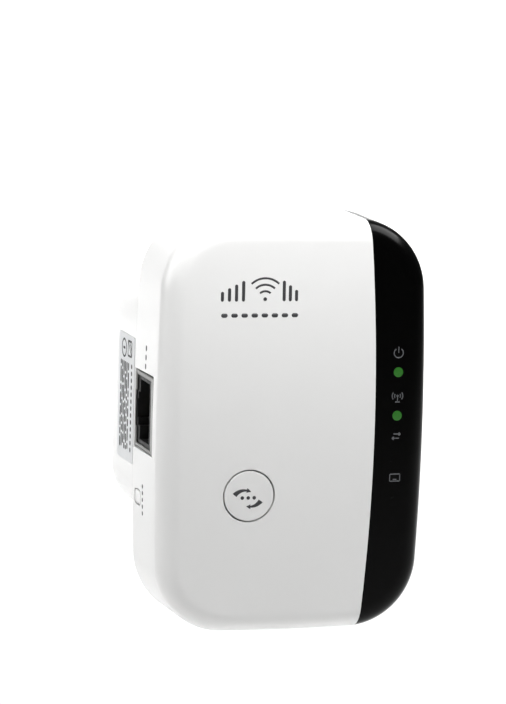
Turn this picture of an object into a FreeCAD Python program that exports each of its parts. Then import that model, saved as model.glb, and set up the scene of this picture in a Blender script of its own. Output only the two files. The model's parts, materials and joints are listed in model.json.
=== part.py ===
# Plug-in wifi range extender, in millimetres.
# +Z is up, -Y is the front, and the origin is the centre of the flat rear face of the plug block,
# which lies against the wall socket.  +X is to the right of someone facing the front.
import FreeCAD, Part
import math
import os

os.makedirs("parts", exist_ok=True)
Vec = FreeCAD.Vector

# ---- driving dimensions ----
body_width = 55.5
body_height = 82.6
side_bow = 1.2            # how far the long sides bulge
end_bow = 0.75            # how far the top and bottom bulge
corner_radius = 14.6
draft = math.tan(math.radians(1.6))
crown_radius = 700.0      # the front face is part of a large sphere
front_edge_radius = 4.5
overall_depth = 41.1      # wall to the front face
block_depth = 20.4        # wall to the rear edge of the body
body_z = -1.6             # the body hangs a little below the block's centre
lip_depth = 1.2           # the visible rim of the rear cover
wall = 2.1
panel_thickness = 1.1
panel_edge_x = 16.0       # left edge of the black panel at mid height
panel_edge_radius = 500.0
panel_seam = 0.06
cover_gap = 0.1           # between the rear cover's rim and the inside of the front cover
rim_thickness = 1.3
rim_rise = 2.0
rear_fillet = 0.5
clear_of_front = -50.0    # in front of everything, where cutters start
clear_of_skin = -36.0     # behind the front wall, where they end

bead_x = 8.0              # snap beads: along each end of the rim, either side of the middle
bead_half_length = 4.0
bead_rear_y = -22.5
bead_front_y = -23.3
bead_half_height = 0.6

block_width = 54.4
block_height = 48.2
block_corner = 10.2
block_wall = 2.0
block_edge_radius = 2.0
block_lap = 0.4           # how far the block's hollow runs into the body
label_thickness = 0.12
label_y = (-18.9, -6.2)
label_z = (-11.9, 13.6)
label_corner = 0.6

board_thickness = 1.2
board_rear_y = -34.0
board_left_x = -23.8
board_right_x = 22.0
board_half_height = 36.0
board_corner = 11.5
boss_x = 18.0
boss_up = 28.5
boss_radius = 2.6
boss_root_y = -39.4
screw_radius = 1.0
screw_head_radius = 1.9
screw_head_height = 1.3
screw_clearance = 0.1
cross_half_length = 1.2
cross_half_width = 0.25
cross_depth = 0.7
board_screw_length = 4.6
power_screw_length = 5.0
board_pilot_y = -38.8

jack_mouth_x = -27.2
jack_length = 18.0
jack_width = 15.4
jack_height = 14.1
jack_sheet = 0.3
jack_opening_width = 12.2
jack_opening_height = 7.6
jack_cavity_depth = 13.0
jack_front_y = -30.3      # the side of the opening that is nearest the front
latch_depth = 1.3
latch_half = 3.5
slot_depth = 1.95
slot_half = 2.0
notch_reach = 3.6         # how far the covers are cut back over the jack
contact_count = 8
contact_pitch = 1.02

button_x = -9.3
button_z = body_z - 13.0
button_radius = 4.95
button_gap = 0.3
button_rear_y = -37.9
flange_radius = 6.3
flange_y = (-38.2, -37.6)
key_z = body_z - 15.7
key_y = -24.6
key_height = 2.7
key_depth = 3.8
key_corner = 0.8
key_half_leg = 2.1
switch_half = 3.0
switch_top_y = -36.9
plate_thickness = 0.3
plunger_radius = 1.5
plunger_y = (-37.5, -36.3)
reset_axis_y = -31.9
reset_face_x = -22.1
reset_rear_x = -18.4
reset_top_y = -29.8
reset_plunger_radius = 1.0
running_gap = 0.05

led_x = 20.6
led_top_z = body_z + 10.9
led_pitch = 8.62
led_names = ["led_power", "led_wireless", "led_relay", "led_network"]
lens_radius = 1.0
guide_y = (-38.2, -37.2)
guide_pin_y = -36.1

power_rear_y = -6.0       # the power board's side that faces the wall
power_thickness = 1.6
power_half_width = 23.5
power_half_height = 20.5
power_corner = 7.0
post_x = 19.5
post_z = 16.5
post_radius = 2.4
post_root = 0.5           # how far posts and seats sink into the wall they stand on
blade_x = 6.85
blade_z = 8.0
blade_width = 6.35
blade_thickness = 1.6
blade_length = 17.0
blade_slant = 30.0
blade_inside_y = -2.8
blade_chamfer = 0.45
tab_half = 1.5
tab_lap = 0.9
seat_half_width = 4.4
seat_half_height = 1.8
seat_y = -4.0

board_front_y = board_rear_y - board_thickness
power_front_y = power_rear_y - power_thickness
parting_y = -(block_depth + lip_depth)


# ---- plain shapes ----
def box(x0, x1, y0, y1, z0, z1):
    low = Vec(min(x0, x1), min(y0, y1), min(z0, z1))
    return Part.makeBox(abs(x1 - x0), abs(y1 - y0), abs(z1 - z0), low)


def rod(radius, start, end):
    line = Vec(*end) - Vec(*start)
    return Part.makeCylinder(radius, line.Length, Vec(*start), line)


def edges_along(shape, axis):
    found = []
    for edge in shape.Edges:
        line = edge.Vertexes[-1].Point - edge.Vertexes[0].Point
        if line.Length > 0 and abs(abs(line.dot(axis)) - line.Length) < 1e-6:
            found.append(edge)
    return found


def rounded_box(x0, x1, y0, y1, z0, z1, radius, axis=Vec(0, 1, 0)):
    plain = box(x0, x1, y0, y1, z0, z1)
    return plain.makeFillet(radius, edges_along(plain, axis))


def fuse(shapes):
    return shapes[0].multiFuse(shapes[1:]).removeSplitter()


def save(name, shape):
    solids = shape.Solids
    kept = solids[0] if len(solids) == 1 else Part.makeCompound(solids)
    kept.exportStep("parts/" + name + ".step")
    print(name, len(solids), round(shape.Volume, 2), shape.isValid())


# ---- the body's outline: four shallow arcs joined by four corner arcs ----
def bow_radius(half_chord, bow):
    return (half_chord ** 2 + bow ** 2) / (2 * bow)


side_radius = bow_radius(body_height / 2, side_bow)
end_radius = bow_radius(body_width / 2, end_bow)
side_centre = body_width / 2 - side_radius
end_centre = body_height / 2 - end_radius


def corner_centre():
    # the corner arc touches both shallow arcs from inside, so its centre is where two circles cross
    near_side = side_radius - corner_radius
    near_end = end_radius - corner_radius
    apart = math.hypot(side_centre, end_centre)
    along = (apart ** 2 + near_side ** 2 - near_end ** 2) / (2 * apart)
    across = math.sqrt(near_side ** 2 - along ** 2)
    x = side_centre - along * side_centre / apart - across * end_centre / apart
    z = along * end_centre / apart - across * side_centre / apart
    return x, z


def arc(centre_x, centre_z, radius, start, end, y):
    points = []
    for angle in (start, (start + end) / 2, end):
        x = centre_x + radius * math.cos(angle)
        z = centre_z + radius * math.sin(angle)
        points.append(Vec(x, y, z + body_z))
    return Part.Arc(*points).toShape()


def outline(inset, y):
    cx, cz = corner_centre()
    low = math.atan2(cz, cx - side_centre)
    high = math.atan2(cz - end_centre, cx)
    turn = math.pi
    pieces = [
        (side_centre, 0, side_radius, -low, low),
        (cx, cz, corner_radius, low, high),
        (0, end_centre, end_radius, high, turn - high),
        (-cx, cz, corner_radius, turn - high, turn - low),
        (-side_centre, 0, side_radius, turn - low, turn + low),
        (-cx, -cz, corner_radius, turn + low, turn + high),
        (0, -end_centre, end_radius, turn + high, 2 * turn - high),
        (cx, -cz, corner_radius, 2 * turn - high, 2 * turn - low),
    ]
    return Part.Wire([arc(x, z, radius - inset, a, b, y) for x, z, radius, a, b in pieces])


def taper(y):
    return (-block_depth - y) * draft


def body_solid(inset, rear_y=-block_depth):
    front_y = -overall_depth - 1
    rear = outline(inset + taper(rear_y), rear_y)
    front = outline(inset + taper(front_y), front_y)
    tub = Part.makeLoft([rear, front], True, True)
    crown = Part.makeSphere(crown_radius - inset, Vec(0, crown_radius - overall_depth, body_z))
    tub = tub.common(crown)
    edge_limit = -overall_depth + inset + 3
    front_edges = [edge for edge in tub.Edges if edge.BoundBox.YMax < edge_limit]
    return tub.makeFillet(front_edge_radius - inset, front_edges)


def slab(y0, y1):
    reach = body_height
    return box(-reach, reach, y0, y1, -reach, reach)


def panel_zone(seam):
    reach = body_height
    centre = panel_edge_x - panel_edge_radius
    left = rod(panel_edge_radius + seam, (centre, -reach, body_z), (centre, reach, body_z))
    right = box(0, reach, -reach, parting_y, -reach, reach)
    return right.cut(left)


def jack_notch(side_gap, rear_gap):
    half = jack_width / 2 + side_gap
    front = board_rear_y - side_gap
    rear = board_rear_y + jack_height + rear_gap
    return box(-body_width, -block_width / 2 + notch_reach, rear, front, -half, half)


def led_heights():
    return [led_top_z - number * led_pitch for number in range(len(led_names))]


def through_skin(radius, x, z):
    return rod(radius, (x, clear_of_front, z), (x, clear_of_skin, z))


def boss_places():
    return [(x, body_z + up) for x in (-boss_x, boss_x) for up in (-boss_up, boss_up)]


def screw_places():
    # two of the four bosses take a screw, and the other two only carry the board
    return [boss_places()[0], boss_places()[3]]


def snap_beads(grow):
    # beads on the rear cover's rim that catch in the front cover, two above and two below
    half_length = bead_half_length + grow
    beads = []
    for x in (-bead_x, bead_x):
        for side in (-1, 1):
            edge = body_z + side * (body_height / 2 - wall - 0.35)
            top = edge + bead_half_height + (grow if side > 0 else 0)
            beads.append(box(x - half_length, x + half_length, bead_rear_y + grow, bead_front_y - grow,
                             edge - bead_half_height, top))
    return beads


# ---- housing ----
def key_prism(grow, x0, x1):
    half_z = key_height / 2 + grow
    half_y = key_depth / 2 + grow
    return rounded_box(x0, x1, key_y - half_y, key_y + half_y, key_z - half_z, key_z + half_z,
                       key_corner + grow, Vec(1, 0, 0))


def front_cover(outer, inner, under_panel):
    cover = outer.cut(inner).common(slab(parting_y, -overall_depth))
    bosses = [rod(boss_radius, (x, boss_root_y, z), (x, board_front_y, z)) for x, z in boss_places()]
    cover = fuse([cover] + bosses)
    cutters = [outer.cut(under_panel).common(panel_zone(0)), jack_notch(0.15, 0.2)]
    cutters.append(through_skin(button_radius + button_gap, button_x, button_z))
    cutters.append(key_prism(button_gap, -body_width, -20))
    for z in led_heights():
        cutters.append(through_skin(lens_radius + 0.1, led_x, z))
    for x, z in screw_places():
        cutters.append(rod(screw_radius, (x, board_pilot_y, z), (x, board_rear_y, z)))
    return cover.cut(cutters + snap_beads(0.15))


def led_panel(outer, under_panel):
    panel = outer.cut(under_panel).common(panel_zone(panel_seam))
    holes = [through_skin(lens_radius, led_x, z) for z in led_heights()]
    return panel.cut(holes)


def rim_ring():
    outside = body_solid(wall + cover_gap)
    inside = body_solid(wall + cover_gap + rim_thickness)
    return outside.cut(inside).common(slab(parting_y, parting_y - rim_rise))


def plug_block():
    half_w = block_width / 2
    half_h = block_height / 2
    block = rounded_box(-half_w, half_w, 0, parting_y, -half_h, half_h, block_corner)
    rear_edges = [edge for edge in block.Edges if edge.BoundBox.YMin > -0.01]
    return block.makeFillet(block_edge_radius, rear_edges)


def block_hollow():
    half_w = block_width / 2 - block_wall
    half_h = block_height / 2 - block_wall
    return rounded_box(-half_w, half_w, -block_wall, parting_y - block_lap, -half_h, half_h,
                       block_corner - block_wall)


def power_posts():
    return [(x, z) for x in (-post_x, post_x) for z in (-post_z, post_z)]


def power_screw_places():
    return [power_posts()[0], power_posts()[3]]


def rear_cover(outer, blades):
    rim = outer.common(slab(-block_depth, parting_y))
    rear_edges = [edge for edge in rim.Edges if edge.BoundBox.YMin > -block_depth - 0.01]
    rim = rim.makeFillet(rear_fillet, rear_edges)
    plate = body_solid(wall + cover_gap).common(slab(-block_depth, parting_y - block_lap))
    shell = fuse([rim, plate, plug_block()])
    shell = shell.cut(block_hollow())
    inside = [rim_ring()]
    root_y = -block_wall + post_root
    for x, z in power_posts():
        inside.append(rod(post_radius, (x, root_y, z), (x, power_rear_y, z)))
    for side in (-1, 1):
        seat = box(-seat_half_width, seat_half_width, root_y, seat_y, -seat_half_height, seat_half_height)
        inside.append(place_blade(seat, side))
    inside += snap_beads(0)
    shell = fuse([shell] + inside)
    key_space = box(-27, -22, parting_y, -28, key_z - 4, key_z + 4)
    cutters = [jack_notch(0.15, 0.15), key_space] + blades
    for x, z in power_screw_places():
        cutters.append(rod(screw_radius, (x, -2.4, z), (x, -8, z)))
    return shell.cut(cutters)


def rating_label():
    left = -block_width / 2
    return rounded_box(left - label_thickness, left, *label_y, *label_z, label_corner, Vec(1, 0, 0))


# ---- plug ----
def place_blade(shape, side):
    # the two blades lean away from each other towards the top
    placed = shape.copy()
    placed.rotate(Vec(0, 0, 0), Vec(0, 1, 0), 90 + side * blade_slant)
    placed.translate(Vec(side * blade_x, 0, blade_z))
    return placed


def plug_blade(side):
    half = blade_width / 2
    thick = blade_thickness / 2
    blade = box(-half, half, blade_inside_y, blade_length, -thick, thick)
    tip = [edge for edge in blade.Edges if edge.BoundBox.YMin > blade_length - 0.01]
    blade = blade.makeChamfer(blade_chamfer, tip)
    tab = box(-tab_half, tab_half, blade_inside_y, power_front_y - tab_lap, -thick, thick)
    return place_blade(fuse([blade, tab]), side)


# ---- controls ----
def front_button(outer):
    cap = rod(button_radius, (button_x, clear_of_front, button_z), (button_x, button_rear_y, button_z))
    flange = rod(flange_radius, (button_x, flange_y[0], button_z), (button_x, flange_y[1], button_z))
    stem = rod(plunger_radius, (button_x, flange_y[1] - 0.1, button_z), (button_x, plunger_y[0], button_z))
    return fuse([cap.common(outer), flange, stem])


def reset_key(outer):
    cap = key_prism(0, -30, -25).common(outer)
    low_z = key_z - key_half_leg
    high_z = key_z + key_half_leg
    catch = box(-25.05, -24.7, -22.5, -27.0, low_z, high_z)
    leg = box(-24.75, -23.9, -22.5, -33.2, low_z, high_z)
    return fuse([cap, catch, leg])


def button_switch_part(y0, y1):
    block = box(button_x - switch_half, button_x + switch_half, y0, y1,
                button_z - switch_half, button_z + switch_half)
    well = rod(plunger_radius + running_gap, (button_x, -38, button_z), (button_x, -35.9, button_z))
    return block.cut(well)


def button_plunger():
    return rod(plunger_radius, (button_x, plunger_y[0], button_z), (button_x, plunger_y[1], button_z))


def reset_switch_part(x0, x1):
    block = box(x0, x1, board_rear_y, reset_top_y, key_z - switch_half, key_z + switch_half)
    well = rod(reset_plunger_radius + running_gap, (-24, reset_axis_y, key_z), (-20.4, reset_axis_y, key_z))
    return block.cut(well)


def reset_plunger():
    return rod(reset_plunger_radius, (-23.9, reset_axis_y, key_z), (-20.9, reset_axis_y, key_z))


def light_guide(outer):
    tops = led_heights()
    bar = box(led_x - 1.8, led_x + 1.2, *guide_y, tops[-1] - 1.8, tops[0] + 1.8)
    pins = []
    for z in tops:
        pin = rod(lens_radius, (led_x, clear_of_front, z), (led_x, guide_pin_y, z))
        pins.append(pin.common(outer))
    return fuse([bar] + pins)


def led_chip(z):
    return box(led_x - 0.4, led_x + 0.4, board_front_y, board_front_y - 0.6, z - 0.8, z + 0.8)


# ---- network jack ----
def jack_space(grow, depth):
    # the plug's opening, with the notch for its latch on the side towards the wall
    half = jack_opening_width / 2 + grow
    front = jack_front_y - grow
    rear = front + jack_opening_height + 2 * grow
    x1 = jack_mouth_x + depth
    main = box(jack_mouth_x - 1, x1, front, rear, -half, half)
    latch = box(jack_mouth_x - 1, x1, rear - 0.5, rear + latch_depth, -latch_half - grow, latch_half + grow)
    slot = box(jack_mouth_x - 1, x1, rear, rear + slot_depth, -slot_half - grow, slot_half + grow)
    return fuse([main, latch, slot])


def jack_shell():
    half = jack_width / 2
    rear = board_rear_y + jack_height
    outside = box(jack_mouth_x, jack_mouth_x + jack_length, board_rear_y, rear, -half, half)
    inside = box(jack_mouth_x + jack_sheet, jack_mouth_x + jack_length - jack_sheet,
                 board_rear_y, rear - jack_sheet, -half + jack_sheet, half - jack_sheet)
    return outside.cut(inside).cut(jack_space(0.1, 1.0))


def jack_body(contacts):
    half = jack_width / 2 - jack_sheet
    rear = board_rear_y + jack_height - jack_sheet
    block = box(jack_mouth_x + jack_sheet, jack_mouth_x + jack_length - jack_sheet,
                board_rear_y, rear, -half, half)
    return block.cut(jack_space(-0.1, jack_cavity_depth)).cut(contacts)


def jack_contact(number):
    # a flat spring: along the roof from the tail, then back on itself into the opening
    z = (number - (contact_count - 1) / 2) * contact_pitch
    tail_x = -12.0 if number % 2 else -14.5
    profile = [
        (tail_x, -36.0), (tail_x + 0.45, -36.0), (tail_x + 0.45, -31.9), (-24.6, -31.9),
        (-25.0, -31.6), (-24.8, -31.3), (-17.4, -28.4), (-17.5, -28.1), (-25.3, -31.15),
        (-25.5, -31.7), (-24.8, -32.3), (tail_x, -32.3),
    ]
    points = [Vec(x, y, z - 0.22) for x, y in profile]
    face = Part.Face(Part.makePolygon(points + points[:1]))
    return face.extrude(Vec(0, 0, 0.44))


# ---- main board ----
def main_board(contacts):
    board = rounded_box(board_left_x, board_right_x, board_rear_y, board_front_y,
                        body_z - board_half_height, body_z + board_half_height, board_corner)
    holes = [rod(screw_radius + screw_clearance, (x, -33, z), (x, -36, z)) for x, z in screw_places()]
    return board.cut(holes + contacts)


def screw(x, z, head_y, length):
    # self-tapping screw driven towards -Y when length is negative, with a cross recess in its head
    side = 1 if length < 0 else -1
    top = head_y + side * screw_head_height
    head = rod(screw_head_radius, (x, head_y, z), (x, top, z))
    shank = rod(screw_radius, (x, head_y, z), (x, head_y + length, z))
    long, narrow = cross_half_length, cross_half_width
    bottom = top - side * cross_depth
    cross_a = box(x - long, x + long, top, bottom, z - narrow, z + narrow)
    cross_b = box(x - narrow, x + narrow, top, bottom, z - long, z + long)
    return fuse([head, shank]).cut([cross_a, cross_b])


def board_screws():
    return Part.makeCompound([screw(x, z, board_rear_y, -board_screw_length) for x, z in screw_places()])


def front_chip(x, z, width, height, tall):
    y = board_front_y
    return box(x - width / 2, x + width / 2, y, y - tall, z - height / 2, z + height / 2)


def rear_chip(x, z, width, height, tall):
    y = board_rear_y
    return box(x - width / 2, x + width / 2, y, y + tall, z - height / 2, z + height / 2)


def shield_can():
    outside = front_chip(-2, 15, 26, 21, 2.0)
    inside = front_chip(-2, 15, 25.6, 20.6, 1.8)
    return outside.cut(inside)


def chip_capacitors():
    places = [(10 + 2.2 * column, -22 - 3.0 * row) for column in range(3) for row in range(4)]
    return Part.makeCompound([front_chip(x, z, 1.0, 1.8, 0.9) for x, z in places])


def antenna(side):
    # a stamped strip: two feet on the board, and an arm with slots cut from alternate edges
    near = body_z + side * 28.2
    far = body_z + side * 33.2
    arm = box(-11, 13, -26.0, -26.3, near, far)
    slots = []
    for number in range(5):
        x = -6.5 + number * 3.6
        start, end = (near, far - side * 1.2) if number % 2 else (near + side * 1.2, far)
        slots.append(box(x, x + 0.9, -25, -27, start, end))
    foot_a = box(-11, -9.8, -26.0, board_rear_y, near, near + side * 0.3)
    foot_b = box(-8.6, -7.4, -26.0, board_rear_y, near, near + side * 0.3)
    return fuse([arm.cut(slots), foot_a, foot_b])


# ---- power board ----
def power_board(blades):
    y0, y1 = power_rear_y, power_front_y
    board = rounded_box(-power_half_width, power_half_width, y0, y1,
                        -power_half_height, power_half_height, power_corner)
    holes = []
    for x, z in power_screw_places():
        holes.append(rod(screw_radius + screw_clearance, (x, y0 + 1, z), (x, y1 - 1, z)))
    return board.cut(holes + blades)


def power_screws():
    screws = [screw(x, z, power_front_y, power_screw_length) for x, z in power_screw_places()]
    return Part.makeCompound(screws)


def power_box(x, z, width, height, tall, lift=0):
    y = power_front_y - lift
    return box(x - width / 2, x + width / 2, y, y - tall, z - height / 2, z + height / 2)


def power_can(x, z, radius, tall):
    top = power_front_y - tall
    can = rod(radius, (x, power_front_y, z), (x, top, z))
    edges = [edge for edge in can.Edges if edge.BoundBox.YMax < top + 0.01]
    return can.makeFillet(0.5, edges)


transformer_x = 6.5
transformer_z = -9.0
transformer_y = power_front_y - 6.2


def transformer_core():
    x, y, z = transformer_x, transformer_y, transformer_z
    frame = box(x - 6.6, x + 6.6, y - 5.6, y + 5.6, z - 3.0, z + 3.0)
    upper = box(x - 4.6, x + 4.6, y + 1.5, y + 4.1, z - 4, z + 4)
    lower = box(x - 4.6, x + 4.6, y - 4.1, y - 1.5, z - 4, z + 4)
    return frame.cut([upper, lower])


def transformer_bobbin():
    x, y, z = transformer_x, transformer_y, transformer_z
    ends = []
    for side in (-1, 1):
        ends.append(box(x + side * 4.5, x + side * 3.9, y - 4.0, y + 4.0, z - 5.4, z + 5.4))
    tube = box(x - 4.5, x + 4.5, y - 2.1, y + 2.1, z - 3.7, z + 3.7)
    leg = box(x - 7, x + 7, y - 1.5, y + 1.5, z - 3.0, z + 3.0)
    feet = []
    for side in (-1, 1):
        feet.append(box(x - 4.4, x + 4.4, y + 3.0, power_front_y, z + side * 3.2, z + side * 5.2))
    return fuse(ends + [tube] + feet).cut(leg)


def transformer_winding():
    x, y, z = transformer_x, transformer_y, transformer_z
    coil = rounded_box(x - 3.9, x + 3.9, y - 3.9, y + 2.9, z - 5.2, z + 5.2, 1.5, Vec(1, 0, 0))
    return coil.cut(box(x - 5, x + 5, y - 2.1, y + 2.1, z - 3.7, z + 3.7))


def disc_capacitor():
    x0, x1, z = 17.6, 20.6, 8.5
    y = power_front_y - 5.2
    disc = rod(4.0, (x0, y, z), (x1, y, z))
    middle = (x0 + x1) / 2
    wires = []
    for side in (-1, 1):
        wire_z = z + side * 2
        wires.append(rod(0.3, (middle, y + 3.0, wire_z), (middle, power_front_y, wire_z)))
    return fuse([disc] + wires)


def toward(start, end):
    line = end - start
    return line.multiply(1 / line.Length)


def lead(route, bend, radius):
    # straight runs joined by arcs that touch both runs
    points = [Vec(*point) for point in route]
    edges = []
    start = points[0]
    for before, corner, after in zip(points, points[1:], points[2:]):
        along = toward(before, corner)
        onward = toward(corner, after)
        half_turn = along.getAngle(onward) / 2
        reach = bend * math.tan(half_turn)
        first = corner - along * reach
        last = corner + onward * reach
        inward = toward(along, onward)
        middle = corner + inward * (bend / math.cos(half_turn) - bend)
        edges.append(Part.makeLine(start, first))
        edges.append(Part.Arc(first, middle, last).toShape())
        start = last
    edges.append(Part.makeLine(start, points[-1]))
    circle = Part.Wire(Part.makeCircle(radius, points[0], toward(points[0], points[1])))
    return Part.Wire(edges).makePipeShell([circle], True, True)


def fuse_resistor():
    y = power_front_y - 2.6
    z = -17.0
    pieces = [rod(1.6, (-3.5, y, z), (3.5, y, z))]
    for side in (-1, 1):
        route = [(side * 3.0, y, z), (side * 5.2, y, z), (side * 5.2, power_front_y, z)]
        pieces.append(lead(route, 0.9, 0.35))
    return fuse(pieces)


def dc_lead(number):
    x = 12.6 + 3.0 * number
    route = [(x, power_front_y, 3.0), (x, -17, 3.0), (x, -25, 8.0), (x, board_rear_y, 8.0)]
    return lead(route, 5.0, 0.7)


def build():
    outer = body_solid(0)
    under_panel = body_solid(panel_thickness)
    inner = body_solid(wall)
    blades = [plug_blade(-1), plug_blade(1)]
    contacts = [jack_contact(number) for number in range(contact_count)]
    parts = {
        "front_cover": front_cover(outer, inner, under_panel),
        "led_panel": led_panel(outer, under_panel),
        "rear_cover": rear_cover(outer, blades),
        "rating_label": rating_label(),
        "blade_left": blades[0],
        "blade_right": blades[1],
        "front_button": front_button(outer),
        "reset_key": reset_key(outer),
        "button_switch": button_switch_part(board_front_y, switch_top_y + plate_thickness),
        "button_switch_plate": button_switch_part(switch_top_y + plate_thickness, switch_top_y),
        "button_plunger": button_plunger(),
        "reset_switch": reset_switch_part(reset_face_x + plate_thickness, reset_rear_x),
        "reset_switch_plate": reset_switch_part(reset_face_x, reset_face_x + plate_thickness),
        "reset_plunger": reset_plunger(),
        "light_guide": light_guide(outer),
        "jack_shell": jack_shell(),
        "jack_body": jack_body(contacts),
        "jack_contacts": Part.makeCompound(contacts),
        "main_board": main_board(contacts),
        "board_screws": board_screws(),
        "processor": front_chip(-6, 14, 10, 10, 0.9),
        "flash_chip": front_chip(5, 18, 5, 6, 1.6),
        "crystal": front_chip(5, 9, 3.2, 2.5, 0.8),
        "shield_can": shield_can(),
        "network_transformer": rear_chip(-1.5, 0, 9.5, 12.7, 5.5),
        "regulator": rear_chip(6, 18, 6.5, 6.5, 2.0),
        "regulator_coil": rear_chip(-4, 18, 6.0, 6.0, 3.0),
        "chip_capacitors": chip_capacitors(),
        "antenna_upper": antenna(1),
        "antenna_lower": antenna(-1),
        "power_board": power_board(blades),
        "power_screws": power_screws(),
        "transformer_core": transformer_core(),
        "transformer_bobbin": transformer_bobbin(),
        "transformer_winding": transformer_winding(),
        "input_capacitor_large": power_can(-15.5, -7.5, 4.0, 11.5),
        "input_capacitor_small": power_can(-15.5, 4.0, 4.0, 10.5),
        "output_capacitor": power_can(17.8, -8.0, 3.15, 11.0),
        "bridge_rectifier": power_box(-14.0, 13.5, 4.0, 4.8, 2.5),
        "controller_chip": power_box(-5.5, -5.0, 4.0, 5.0, 1.6),
        "output_diode": power_box(8.0, 0.4, 4.4, 2.6, 2.2),
        "filter_coil": power_can(0.0, 16.5, 3.0, 7.5),
        "fuse_resistor": fuse_resistor(),
        "disc_capacitor": disc_capacitor(),
        "dc_lead_positive": dc_lead(0),
        "dc_lead_negative": dc_lead(1),
    }
    for name, z in zip(led_names, led_heights()):
        parts[name] = led_chip(z)
    for name, shape in parts.items():
        save(name, shape)


build()
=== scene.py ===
import json
import math

import bmesh
import bpy
import numpy as np
from mathutils import Matrix, Vector


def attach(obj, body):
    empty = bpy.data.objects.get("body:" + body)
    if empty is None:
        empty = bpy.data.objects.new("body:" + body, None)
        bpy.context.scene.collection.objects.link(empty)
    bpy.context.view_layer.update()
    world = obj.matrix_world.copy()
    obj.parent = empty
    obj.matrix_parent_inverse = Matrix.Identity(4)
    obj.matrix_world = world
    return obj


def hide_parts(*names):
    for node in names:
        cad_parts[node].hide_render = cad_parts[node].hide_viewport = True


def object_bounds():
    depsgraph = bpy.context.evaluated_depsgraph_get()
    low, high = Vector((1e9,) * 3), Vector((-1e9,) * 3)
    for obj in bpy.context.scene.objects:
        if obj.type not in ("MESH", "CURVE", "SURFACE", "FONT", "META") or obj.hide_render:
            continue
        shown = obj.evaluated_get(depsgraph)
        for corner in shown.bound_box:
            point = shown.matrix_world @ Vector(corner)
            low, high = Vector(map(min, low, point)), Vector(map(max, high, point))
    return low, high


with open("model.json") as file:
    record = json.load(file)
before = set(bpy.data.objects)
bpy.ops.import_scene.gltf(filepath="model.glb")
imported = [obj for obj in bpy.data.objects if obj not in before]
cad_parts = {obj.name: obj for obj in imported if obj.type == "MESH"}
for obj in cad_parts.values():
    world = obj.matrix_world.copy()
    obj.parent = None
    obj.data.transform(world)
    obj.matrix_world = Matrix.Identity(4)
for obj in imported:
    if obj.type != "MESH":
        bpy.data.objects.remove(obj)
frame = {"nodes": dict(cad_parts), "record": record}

# A plug-in wifi range extender. Lengths in the dictionaries are millimetres unless a note says otherwise,
# +Z is up, -Y is the front and the wall is on the +Y side.
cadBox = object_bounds()
metresPerMillimetre = 0.001
chance = np.random.default_rng(12)
print("packed model loaded:", len(frame["nodes"]), "nodes")


# camera, light and floor
viewpoint = {
    "aim": (-9.04, -40.0, 13.58),
    "distance": 607.8,
    "turn": 16.43,       # degrees to the object's left
    "above": 7.97,       # degrees
    "roll": 1.59,        # degrees
    "lens": 160.6,
}
studio = {
    "floorBelow": 45.0,
    "sweep": {"front": -3000.0, "back": 1200.0, "bend": 500.0, "top": 2600.0, "half": 4000.0},
    "worldSeen": 0.86,   # what the camera sees past the floor
    "worldLight": 0.05,  # what lights the object
    # each lamp: place, aim, width, height, watts, spread in degrees
    "lamps": {
        "topSoftbox": ((2, -110, 170), (0, -30, 0), 140, 80, 0.4, 180),
        "leftSoftbox": ((-700, 80, 260), (0, -30, 0), 420, 520, 2.3, 180),
        "stripGlint": ((420, -10, 480), (20, -35, 20), 420, 300, 2.7, 180),
        "backdropBank": ((0, 760, 900), (0, 860, -90), 900, 600, 8.0, 90),
    },
}


def toLinear(hexColour):
    # each sRGB byte over 255, then ((c + 0.055) / 1.055) to the power 2.4
    parts = [int(hexColour[i:i + 2], 16) / 255 for i in (0, 2, 4)]
    return tuple(c / 12.92 if c <= 0.04045 else ((c + 0.055) / 1.055) ** 2.4 for c in parts)


def addCamera(look):
    # right, forward and up from turn, tilt and roll, as columns of the camera's matrix
    turn, above, roll = (math.radians(look[key]) for key in ("turn", "above", "roll"))
    spin, tilt, lean = (Matrix.Rotation(*each) for each in ((turn, 3, "Z"), (above, 3, "X"), (roll, 3, "Y")))
    right, forward, up = lean @ tilt @ spin
    place = Vector(look["aim"]) - forward * look["distance"]
    camera = bpy.data.objects.new("camera", bpy.data.cameras.new("camera"))
    camera.data.lens = look["lens"]
    camera.data.clip_start = 0.01
    facing = Matrix((right, up, -forward)).transposed().to_4x4()
    camera.matrix_world = Matrix.Translation(place * metresPerMillimetre) @ facing
    bpy.context.scene.collection.objects.link(camera)
    bpy.context.scene.camera = camera


def addLamp(name, place, aim, width, height, watts, spread):
    lamp = bpy.data.lights.new(name, "AREA")
    lamp.shape = "RECTANGLE"
    lamp.size = width * metresPerMillimetre
    lamp.size_y = height * metresPerMillimetre
    lamp.energy = watts
    lamp.spread = math.radians(spread)
    lampObject = bpy.data.objects.new(name, lamp)
    lampObject.location = Vector(place) * metresPerMillimetre
    lampObject.rotation_euler = (Vector(aim) - Vector(place)).to_track_quat("-Z", "Y").to_euler()
    lampObject.visible_camera = False
    bpy.context.scene.collection.objects.link(lampObject)


def addSweep(size, height):
    # a floor that bends up into a backdrop: straight, a quarter circle, straight, carried across the width
    angle = np.linspace(0, math.pi / 2, 25)
    y = np.concatenate([[size["front"]], size["back"] - size["bend"] + size["bend"] * np.sin(angle), [size["back"]]])
    z = np.concatenate([[0], size["bend"] * (1 - np.cos(angle)), [size["top"]]])
    x = np.array([-size["half"], size["half"]])
    points = np.stack(np.broadcast_arrays(x[None], y[:, None], z[:, None] + height), -1).reshape(-1, 3)
    row = 2 * np.arange(y.size - 1)
    mesh = bpy.data.meshes.new("floor")
    mesh.from_pydata((points * metresPerMillimetre).tolist(), [],
                     np.stack([row, row + 1, row + 3, row + 2], -1).tolist())
    mesh.shade_smooth()
    floor = bpy.data.objects.new("floor", mesh)
    bpy.context.scene.collection.objects.link(floor)
    return floor


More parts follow.
